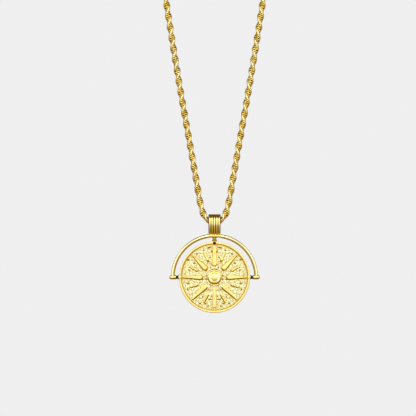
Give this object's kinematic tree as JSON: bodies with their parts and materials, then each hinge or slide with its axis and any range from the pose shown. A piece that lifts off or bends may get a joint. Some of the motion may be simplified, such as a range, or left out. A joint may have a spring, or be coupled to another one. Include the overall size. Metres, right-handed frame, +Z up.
{
  "type": "sun pendant necklace",
  "caption": "Gold necklace: a sun medallion turns on side pins in a round-wire yoke, which hangs by a reeded bail on a twisted rope chain closed by a ring clasp.",
  "frame": {"origin": "middle of the clasp ring at the top of the loop, where the necklace hangs at the nape", "axes": "the loop lies in the XZ plane; +Z is up, the sun's face looks along -Y, and +X is to the right as seen from the front"},
  "size_m": [0.05, 0.004, 0.2396],
  "materials": {
    "chain_gold": "polished gold plate on twisted links",
    "fitting_gold": "polished gold plate",
    "medal_gold": "frosted gold plate with polished rim and rays",
    "pin_dark": "blackened steel"
  },
  "bodies": {
    "chain": {"rope_chain": "chain_gold", "end_cap_left": "fitting_gold", "end_cap_right": "fitting_gold", "clasp": "fitting_gold"},
    "hanger": {"hanger": "fitting_gold"},
    "medallion": {"medallion": "medal_gold", "pivot_pin_left": "pin_dark", "pivot_pin_right": "pin_dark"}
  },
  "joints": [
    {"name": "pendant_swing", "type": "hinge", "parent": "chain", "child": "hanger", "pos_m": [0, 0, -0.21066], "axis": [1, 0, 0], "range_deg": [-75, 75]},
    {"name": "medallion_spin", "type": "hinge", "parent": "hanger", "child": "medallion", "pos_m": [0, 0, -0.22666], "axis": [1, 0, 0], "continuous": true}
  ]
}
